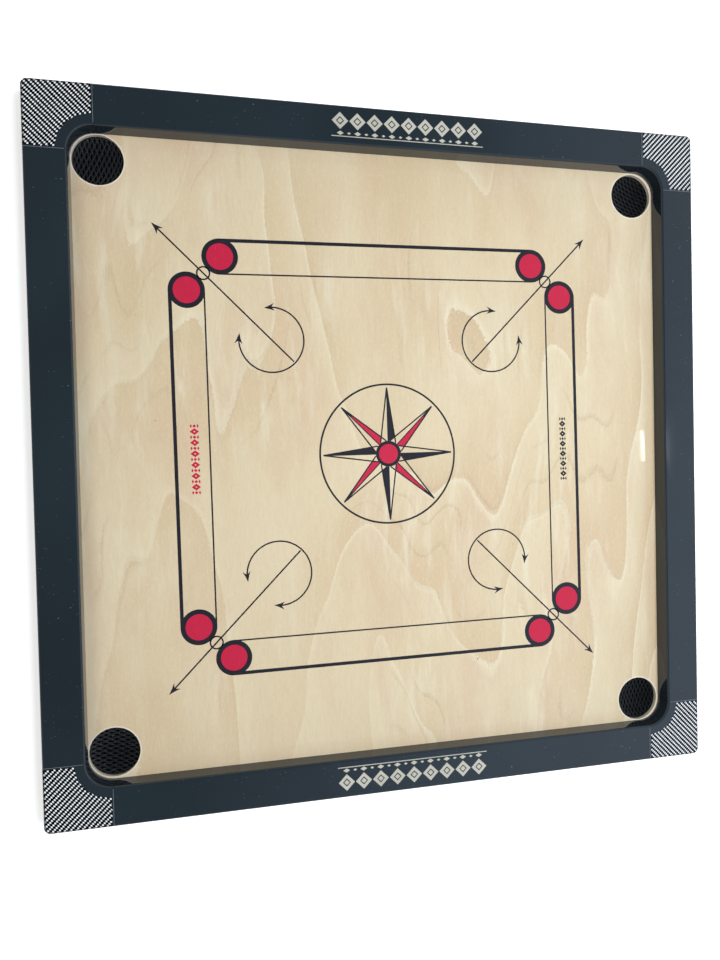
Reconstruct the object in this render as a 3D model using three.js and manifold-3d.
// A 26 inch carrom board. Four black rails and four corner blocks frame a sunken plywood
// playing panel with a netted pocket in each corner. Two crossed battens stiffen the panel
// from below. Millimetres, +Z up. The origin is the middle of the underside that the board
// rests on, X runs to the right and Y runs away from the front rail.
import * as THREE from 'three';
import { mergeVertices } from 'three/addons/utils/BufferGeometryUtils.js';
import Module from 'manifold-3d';

const wasm = await Module();
wasm.setup();

// Driving dimensions of the frame
const SIDE = 660;
const FRAME_HEIGHT = 38;
const RAIL_WIDTH = 36.5;
const CORNER_SIZE = 59;
const OUTER_CORNER_RADIUS = 6;
const ARRIS_RADIUS = 2;

// Driving dimensions of the playing panel and its pockets
const SHOULDER_DEPTH = 18;
const SHOULDER_WIDTH = 8;
const PANEL_THICKNESS = 4;
const POCKET_DIAMETER = 45.2;

// Pocket centres, measured from the middle of the board: front left, front right, back right
// and back left. The four are not placed quite alike.
const POCKET_CENTRES = [[-270.6, -269.2], [268.8, -270], [268.8, 269.3], [-270.1, 270.3]];

// Clearances between pieces that meet, the spare depth of a blind hole, and how far a cutting
// tool runs past the face it opens
const SEAM_GAP = 0.2;
const FIT_GAP = 0.2;
const DRILL_CLEARANCE = 0.2;
const SPARE_DEPTH = 0.5;
const RUN_PAST = 1;

// Dowels, battens, nets, rings and fasteners
const DOWEL = { diameter: 8, length: 30, inset: 14, heights: [10, 28] };
const BATTEN = { width: 25, thickness: 12, reachUnderRail: 12 };
const NET = { thickness: 0.8, hemWidth: 4, sag: 6.5 };
const RING = { innerRadius: 23.4, outerRadius: 30.6, thickness: 3, tackRadius: 28.5 };
const WOOD_SCREW = { headRadius: 3.6, headHeight: 2.2, shankRadius: 1.7, recess: 1 };
const NAIL = { headRadius: 2, headHeight: 0.8, shankRadius: 0.8, pointLength: 1.5 };
const PANEL_PIN_LENGTH = 14;
const PANEL_PIN_SPACING = 360;
const RING_TACK_LENGTH = 6.4;
const BATTEN_SCREW_LENGTH = 24;
const CROSSING_SCREW_LENGTH = 10;

// Levels and distances that follow from them
const HALF_SIDE = SIDE / 2;
const SOCKET_DEPTH = DOWEL.length / 2 + SPARE_DEPTH;
const SOCKET_RADIUS = DOWEL.diameter / 2 + DRILL_CLEARANCE;
const PILOT_RADIUS = NAIL.shankRadius + DRILL_CLEARANCE;
const SEAM_DISTANCE = HALF_SIDE - CORNER_SIZE;
const SHOULDER_LEVEL = FRAME_HEIGHT - SHOULDER_DEPTH;
const PANEL_TOP = SHOULDER_LEVEL - FIT_GAP;
const PANEL_BOTTOM = PANEL_TOP - PANEL_THICKNESS;
const SHOULDER_FOOT = RAIL_WIDTH - SHOULDER_WIDTH;
const PANEL_SIDE = SIDE - 2 * (SHOULDER_FOOT + FIT_GAP);
const BATTEN_TOP = PANEL_BOTTOM - FIT_GAP;
const BATTEN_BOTTOM = BATTEN_TOP - BATTEN.thickness;
const BATTEN_END = HALF_SIDE - SHOULDER_FOOT + BATTEN.reachUnderRail;
const BATTEN_SCREW_INSET = SHOULDER_FOOT - BATTEN.reachUnderRail / 2;
const RING_TOP = PANEL_BOTTOM - FIT_GAP;
const RING_BOTTOM = RING_TOP - RING.thickness;
const HEM_BOTTOM = RING_TOP - NET.thickness;
const HEM_RADIUS = POCKET_DIAMETER / 2 + NET.hemWidth;

// How finely round shapes are divided
const ARC_SEGMENTS = 16;
const ARRIS_SEGMENTS = 6;
const POCKET_SEGMENTS = 64;
const NET_SEGMENTS = 20;
const ROD_SEGMENTS = 10;
const NAIL_SEGMENTS = 8;
const QUARTER_TURN = Math.PI / 2;

const laminate = { color: 0x171d24, roughness: 0.22, metalness: 0 };
const cornerFilm = { color: 0x1b2128, roughness: 0.25, metalness: 0 };
const plywood = { color: 0xd9c19c, roughness: 0.38, metalness: 0 };
const rawWood = { color: 0xb98f5e, roughness: 0.75, metalness: 0 };
const knittedNet = { color: 0x0c0c0e, roughness: 0.9, metalness: 0 };
const ringPlastic = { color: 0x1a1a1c, roughness: 0.55, metalness: 0 };
const steel = { color: 0x9a9ca0, roughness: 0.35, metalness: 0.9 };

// Turns a closed geometry into a solid that can be joined and cut.
function toSolid(geometry) {
  const bare = geometry.clone();
  bare.deleteAttribute('normal');
  bare.deleteAttribute('uv');
  const merged = mergeVertices(bare);
  const vertProperties = new Float32Array(merged.attributes.position.array);
  const triVerts = new Uint32Array(merged.index.array);
  return new wasm.Manifold(new wasm.Mesh({ numProp: 3, vertProperties, triVerts }));
}

// Turns a solid back into a geometry.
function toGeometry(solid) {
  const mesh = solid.getMesh();
  const geometry = new THREE.BufferGeometry();
  geometry.setAttribute('position', new THREE.BufferAttribute(mesh.vertProperties, 3));
  geometry.setIndex(new THREE.BufferAttribute(mesh.triVerts, 1));
  geometry.computeVertexNormals();
  return geometry;
}

// Cuts every tool out of a geometry.
function cutAway(geometry, tools) {
  const solid = tools.reduce((body, tool) => body.subtract(toSolid(tool)), toSolid(geometry));
  return toGeometry(solid);
}

// A box given by its lowest and highest corners.
function boxBetween(low, high) {
  const size = high.map((value, i) => value - low[i]);
  const middle = high.map((value, i) => (value + low[i]) / 2);
  return new THREE.BoxGeometry(...size).translate(...middle);
}

// A round rod that starts at a point and runs along +X or +Z.
function rod(radius, length, start, alongX = false) {
  const geometry = new THREE.CylinderGeometry(radius, radius, length, ROD_SEGMENTS);
  geometry.translate(0, length / 2, 0);
  if (alongX) geometry.rotateZ(-QUARTER_TURN);
  else geometry.rotateX(QUARTER_TURN);
  return geometry.translate(...start);
}

// Turns a profile of [radius, height] pairs about the Z axis.
function turned(profile, segments) {
  const points = profile.map(([radius, height]) => new THREE.Vector2(radius, height));
  return new THREE.LatheGeometry(points, segments).rotateX(QUARTER_TURN);
}

function piece(name, geometry, finish) {
  const mesh = new THREE.Mesh(geometry, new THREE.MeshStandardMaterial(finish));
  mesh.name = name;
  return mesh;
}

// Section of a rail: Y is the distance in from the outer face and Z is the height. The panel
// seats under the shoulder on the inner side.
function railSection() {
  const top = FRAME_HEIGHT - ARRIS_RADIUS;
  const section = new THREE.Shape();
  section.moveTo(SHOULDER_FOOT, 0);
  section.lineTo(SHOULDER_FOOT, SHOULDER_LEVEL);
  section.lineTo(RAIL_WIDTH, SHOULDER_LEVEL);
  section.absarc(RAIL_WIDTH - ARRIS_RADIUS, top, ARRIS_RADIUS, 0, QUARTER_TURN);
  section.absarc(ARRIS_RADIUS, top, ARRIS_RADIUS, QUARTER_TURN, 2 * QUARTER_TURN);
  section.absarc(ARRIS_RADIUS, ARRIS_RADIUS, ARRIS_RADIUS, 2 * QUARTER_TURN, 3 * QUARTER_TURN);
  section.closePath();
  return section;
}

// Where the panel is pinned to a rail. Each side has a frame of its own: X runs along the rail
// and Y runs from its outer face towards the middle of the board.
function pinPlaces() {
  const y = (SHOULDER_FOOT + RAIL_WIDTH) / 2;
  return [-PANEL_PIN_SPACING / 2, PANEL_PIN_SPACING / 2].map((x) => [x, y]);
}

function railGeometry() {
  const length = 2 * SEAM_DISTANCE - SEAM_GAP;
  const bar = new THREE.ExtrudeGeometry(railSection(), {
    depth: length,
    bevelEnabled: false,
    curveSegments: ARRIS_SEGMENTS / 2,
  });
  const alongX = new THREE.Matrix4().makeBasis(
    new THREE.Vector3(0, 1, 0),
    new THREE.Vector3(0, 0, 1),
    new THREE.Vector3(1, 0, 0),
  );
  bar.applyMatrix4(alongX).translate(-length / 2, 0, 0);
  const halfNotch = BATTEN.width / 2 + FIT_GAP;
  const notch = boxBetween(
    [-halfNotch, SHOULDER_FOOT - BATTEN.reachUnderRail - FIT_GAP, -RUN_PAST],
    [halfNotch, RAIL_WIDTH, BATTEN_TOP + FIT_GAP],
  );
  const screwHole = rod(
    WOOD_SCREW.shankRadius + DRILL_CLEARANCE,
    BATTEN_SCREW_LENGTH - BATTEN.thickness + SPARE_DEPTH,
    [0, BATTEN_SCREW_INSET, BATTEN_TOP],
  );
  const sockets = DOWEL.heights.flatMap((height) => [-1, 1].map((end) => {
    const start = end < 0 ? -SEAM_DISTANCE : SEAM_DISTANCE - SOCKET_DEPTH;
    return rod(SOCKET_RADIUS, SOCKET_DEPTH, [start, DOWEL.inset, height], true);
  }));
  const pinHoles = pinPlaces().map(([x, y]) => rod(
    PILOT_RADIUS,
    PANEL_PIN_LENGTH - PANEL_THICKNESS + RUN_PAST,
    [x, y, SHOULDER_LEVEL - RUN_PAST],
  ));
  return cutAway(bar, [notch, screwHole, ...sockets, ...pinHoles]);
}

// Outline of a corner block seen from above, with its outer corner at the origin. It runs past
// the seams, which are cut square afterwards. The inner wall is a quarter circle around the
// block's inner corner.
function cornerOutline() {
  const wallRadius = CORNER_SIZE - RAIL_WIDTH;
  const wall = CORNER_SIZE - wallRadius;
  const reach = CORNER_SIZE + 2 * ARRIS_RADIUS;
  const outline = new THREE.Shape();
  outline.moveTo(reach, 0);
  outline.lineTo(reach, wall);
  outline.absarc(CORNER_SIZE, CORNER_SIZE, wallRadius, -QUARTER_TURN, -2 * QUARTER_TURN, true);
  outline.lineTo(wall, reach);
  outline.lineTo(0, reach);
  outline.absarc(
    OUTER_CORNER_RADIUS, OUTER_CORNER_RADIUS, OUTER_CORNER_RADIUS, 2 * QUARTER_TURN, 3 * QUARTER_TURN,
  );
  outline.closePath();
  return outline;
}

function cornerGeometry() {
  const block = new THREE.ExtrudeGeometry(cornerOutline(), {
    depth: FRAME_HEIGHT - 2 * ARRIS_RADIUS,
    bevelThickness: ARRIS_RADIUS,
    bevelSize: ARRIS_RADIUS,
    bevelOffset: -ARRIS_RADIUS,
    bevelSegments: ARRIS_SEGMENTS,
    curveSegments: ARC_SEGMENTS / 2,
  }).translate(0, 0, ARRIS_RADIUS);
  const seam = CORNER_SIZE - SEAM_GAP / 2;
  const reach = 2 * CORNER_SIZE;
  const pastSeams = [
    boxBetween([seam, -RUN_PAST, -RUN_PAST], [reach, reach, FRAME_HEIGHT + RUN_PAST]),
    boxBetween([-RUN_PAST, seam, -RUN_PAST], [reach, reach, FRAME_HEIGHT + RUN_PAST]),
  ];
  const rebate = boxBetween([SHOULDER_FOOT, SHOULDER_FOOT, -RUN_PAST], [reach, reach, SHOULDER_LEVEL]);
  const sockets = DOWEL.heights.flatMap((height) => {
    const start = [CORNER_SIZE - SOCKET_DEPTH, DOWEL.inset, height];
    const alongX = rod(SOCKET_RADIUS, SOCKET_DEPTH, start, true);
    const alongY = alongX.clone().applyMatrix4(new THREE.Matrix4().makeBasis(
      new THREE.Vector3(0, 1, 0),
      new THREE.Vector3(-1, 0, 0),
      new THREE.Vector3(0, 0, 1),
    )).translate(2 * DOWEL.inset, 0, 0);
    return [alongX, alongY];
  });
  return cutAway(block, [...pastSeams, rebate, ...sockets]);
}

// The plywood sheet: square, with four round pocket holes and pilot holes for its pins.
function panelGeometry() {
  const half = PANEL_SIDE / 2;
  const outline = new THREE.Shape([
    new THREE.Vector2(-half, -half),
    new THREE.Vector2(half, -half),
    new THREE.Vector2(half, half),
    new THREE.Vector2(-half, half),
  ]);
  for (const [x, y] of POCKET_CENTRES) {
    outline.holes.push(new THREE.Path().absarc(x, y, POCKET_DIAMETER / 2, 0, 4 * QUARTER_TURN, true));
  }
  const sheet = new THREE.ExtrudeGeometry(outline, {
    depth: PANEL_THICKNESS,
    bevelEnabled: false,
    curveSegments: POCKET_SEGMENTS / 2,
  }).translate(0, 0, PANEL_BOTTOM);
  const pinHoles = [0, 1, 2, 3].flatMap((side) => pinPlaces().map(([x, y]) => rod(
    PILOT_RADIUS,
    PANEL_THICKNESS + 2 * RUN_PAST,
    [x, y - HALF_SIDE, PANEL_BOTTOM - RUN_PAST],
  ).rotateZ(side * QUARTER_TURN)));
  const tackHoles = POCKET_CENTRES.flatMap((centre) => tackPlaces(centre).map(([x, y]) => rod(
    PILOT_RADIUS,
    RING_TACK_LENGTH - RING.thickness + RUN_PAST,
    [x, y, PANEL_BOTTOM - RUN_PAST],
  )));
  return cutAway(sheet, [...pinHoles, ...tackHoles]);
}

// Each ring has two tacks, on the line square to the board's diagonal.
function tackPlaces([x, y]) {
  const step = RING.tackRadius / Math.SQRT2;
  const turn = Math.sign(x * y);
  return [-1, 1].map((end) => [x + end * step, y - end * turn * step]);
}

// A batten lies along X. A lap cut takes away its upper or lower half where the other crosses.
function battenGeometry(keepsLowerHalf) {
  const middle = (BATTEN_TOP + BATTEN_BOTTOM) / 2;
  const bar = boxBetween(
    [-BATTEN_END, -BATTEN.width / 2, BATTEN_BOTTOM],
    [BATTEN_END, BATTEN.width / 2, BATTEN_TOP],
  );
  const halfLap = BATTEN.width / 2 + FIT_GAP;
  const lap = keepsLowerHalf
    ? boxBetween([-halfLap, -halfLap, middle - FIT_GAP / 2], [halfLap, halfLap, FRAME_HEIGHT])
    : boxBetween([-halfLap, -halfLap, 0], [halfLap, halfLap, middle + FIT_GAP / 2]);
  const screwPlaces = [BATTEN_SCREW_INSET - HALF_SIDE, 0, HALF_SIDE - BATTEN_SCREW_INSET];
  const holes = screwPlaces.map((x) => screwClearance().translate(x, 0, BATTEN_BOTTOM));
  return cutAway(bar, [lap, ...holes]);
}

// The space a countersunk screw needs: its own form grown by the drilling clearance.
function screwClearance() {
  const { headRadius, headHeight, shankRadius } = WOOD_SCREW;
  return turned([
    [0, -RUN_PAST],
    [headRadius + DRILL_CLEARANCE, -RUN_PAST],
    [headRadius + DRILL_CLEARANCE, 0],
    [shankRadius + DRILL_CLEARANCE, headHeight],
    [shankRadius + DRILL_CLEARANCE, BATTEN.thickness + RUN_PAST],
    [0, BATTEN.thickness + RUN_PAST],
  ], ROD_SEGMENTS);
}

// A countersunk wood screw, head down, with a cross recess in the head.
function screwGeometry(length) {
  const { headRadius, headHeight, shankRadius, recess } = WOOD_SCREW;
  const body = turned([
    [0, 0],
    [headRadius - DRILL_CLEARANCE, 0],
    [shankRadius - DRILL_CLEARANCE, headHeight],
    [shankRadius - DRILL_CLEARANCE, length - 2 * shankRadius],
    [0, length],
  ], ROD_SEGMENTS);
  const arm = headRadius / 2;
  const slots = [
    boxBetween([-arm, -recess / 2, -RUN_PAST], [arm, recess / 2, recess]),
    boxBetween([-recess / 2, -arm, -RUN_PAST], [recess / 2, arm, recess]),
  ];
  return cutAway(body, slots);
}

// A flat-headed nail, head down.
function nailGeometry(length) {
  const { headRadius, headHeight, shankRadius, pointLength } = NAIL;
  return turned([
    [0, -headHeight],
    [headRadius, -headHeight],
    [headRadius, 0],
    [shankRadius, 0],
    [shankRadius, length - pointLength],
    [0, length],
  ], NAIL_SEGMENTS);
}

// The knitted net: a flat hem under the panel and a shallow bowl that sags below the hole.
function netGeometry() {
  const mouth = POCKET_DIAMETER / 2;
  const steps = 6;
  const sagAt = (radius) => NET.sag * (1 - (radius / mouth) ** 3);
  const bowl = Array.from({ length: steps + 1 }, (_, step) => {
    const radius = (mouth * step) / steps;
    return [radius, HEM_BOTTOM - sagAt(radius)];
  });
  const under = [...bowl, [HEM_RADIUS, HEM_BOTTOM]];
  const over = under.map(([radius, height]) => [radius, height + NET.thickness]).reverse();
  return turned([...under, ...over], NET_SEGMENTS);
}

// The ring that clamps the net's hem: its outer part meets the panel, its inner part is stepped
// down by the hem's thickness.
function ringGeometry(centre) {
  const hemLevel = HEM_BOTTOM - FIT_GAP;
  const step = HEM_RADIUS + 2 * FIT_GAP;
  const ring = turned([
    [RING.innerRadius, RING_BOTTOM],
    [RING.outerRadius, RING_BOTTOM],
    [RING.outerRadius, RING_TOP],
    [step, RING_TOP],
    [step, hemLevel],
    [RING.innerRadius, hemLevel],
    [RING.innerRadius, RING_BOTTOM],
  ], NET_SEGMENTS);
  const holes = tackPlaces(centre).map(([x, y]) => rod(
    PILOT_RADIUS,
    RING.thickness + 2 * RUN_PAST,
    [x - centre[0], y - centre[1], RING_BOTTOM - RUN_PAST],
  ));
  return cutAway(ring, holes);
}

const board = new THREE.Group();
board.name = 'carrom_board';

// The four sides. Each holds its rail, the dowels at both ends, the panel pins and the screw
// that ties a batten to the rail.
['front', 'right', 'back', 'left'].forEach((side, turn) => {
  const group = new THREE.Group();
  group.rotation.z = turn * QUARTER_TURN;
  const edge = new THREE.Group();
  edge.position.y = -HALF_SIDE;
  group.add(edge);
  edge.add(piece(`rail_${side}`, railGeometry(), laminate));
  [-1, 1].forEach((end) => DOWEL.heights.forEach((height, level) => {
    const start = [end * SEAM_DISTANCE - DOWEL.length / 2, DOWEL.inset, height];
    const hand = end < 0 ? 'left' : 'right';
    const place = ['lower', 'upper'][level];
    const dowel = rod(DOWEL.diameter / 2, DOWEL.length, start, true);
    edge.add(piece(`dowel_${side}_${hand}_${place}`, dowel, rawWood));
  }));
  pinPlaces().forEach(([x, y], i) => {
    const pin = piece(`panel_pin_${side}_${i + 1}`, nailGeometry(PANEL_PIN_LENGTH), steel);
    pin.position.set(x, y, PANEL_BOTTOM - FIT_GAP);
    edge.add(pin);
  });
  const screw = piece(`batten_screw_${side}`, screwGeometry(BATTEN_SCREW_LENGTH), steel);
  screw.position.set(0, BATTEN_SCREW_INSET, BATTEN_BOTTOM);
  edge.add(screw);
  board.add(group);
});

// The four corners. Each holds its block, net, ring and ring tacks.
['front_left', 'front_right', 'back_right', 'back_left'].forEach((corner, turn) => {
  const block = piece(`corner_${corner}`, cornerGeometry(), cornerFilm);
  block.position.set(-HALF_SIDE, -HALF_SIDE, 0);
  const group = new THREE.Group();
  group.rotation.z = turn * QUARTER_TURN;
  group.add(block);
  board.add(group);
  const centre = POCKET_CENTRES[turn];
  const net = piece(`pocket_net_${corner}`, netGeometry(), knittedNet);
  const ring = piece(`net_ring_${corner}`, ringGeometry(centre), ringPlastic);
  net.position.set(...centre, 0);
  ring.position.set(...centre, 0);
  board.add(net, ring);
  tackPlaces(centre).forEach(([x, y], i) => {
    const tack = piece(`ring_tack_${corner}_${i + 1}`, nailGeometry(RING_TACK_LENGTH), steel);
    tack.position.set(x, y, RING_BOTTOM - FIT_GAP);
    board.add(tack);
  });
});

board.add(piece('playing_panel', panelGeometry(), plywood));

const battenAcross = piece('batten_across', battenGeometry(false), rawWood);
const battenAlong = piece('batten_along', battenGeometry(true), rawWood);
battenAlong.rotation.z = QUARTER_TURN;
const crossingScrew = piece('batten_crossing_screw', screwGeometry(CROSSING_SCREW_LENGTH), steel);
crossingScrew.position.z = BATTEN_BOTTOM;
board.add(battenAcross, battenAlong, crossingScrew);

export default board;
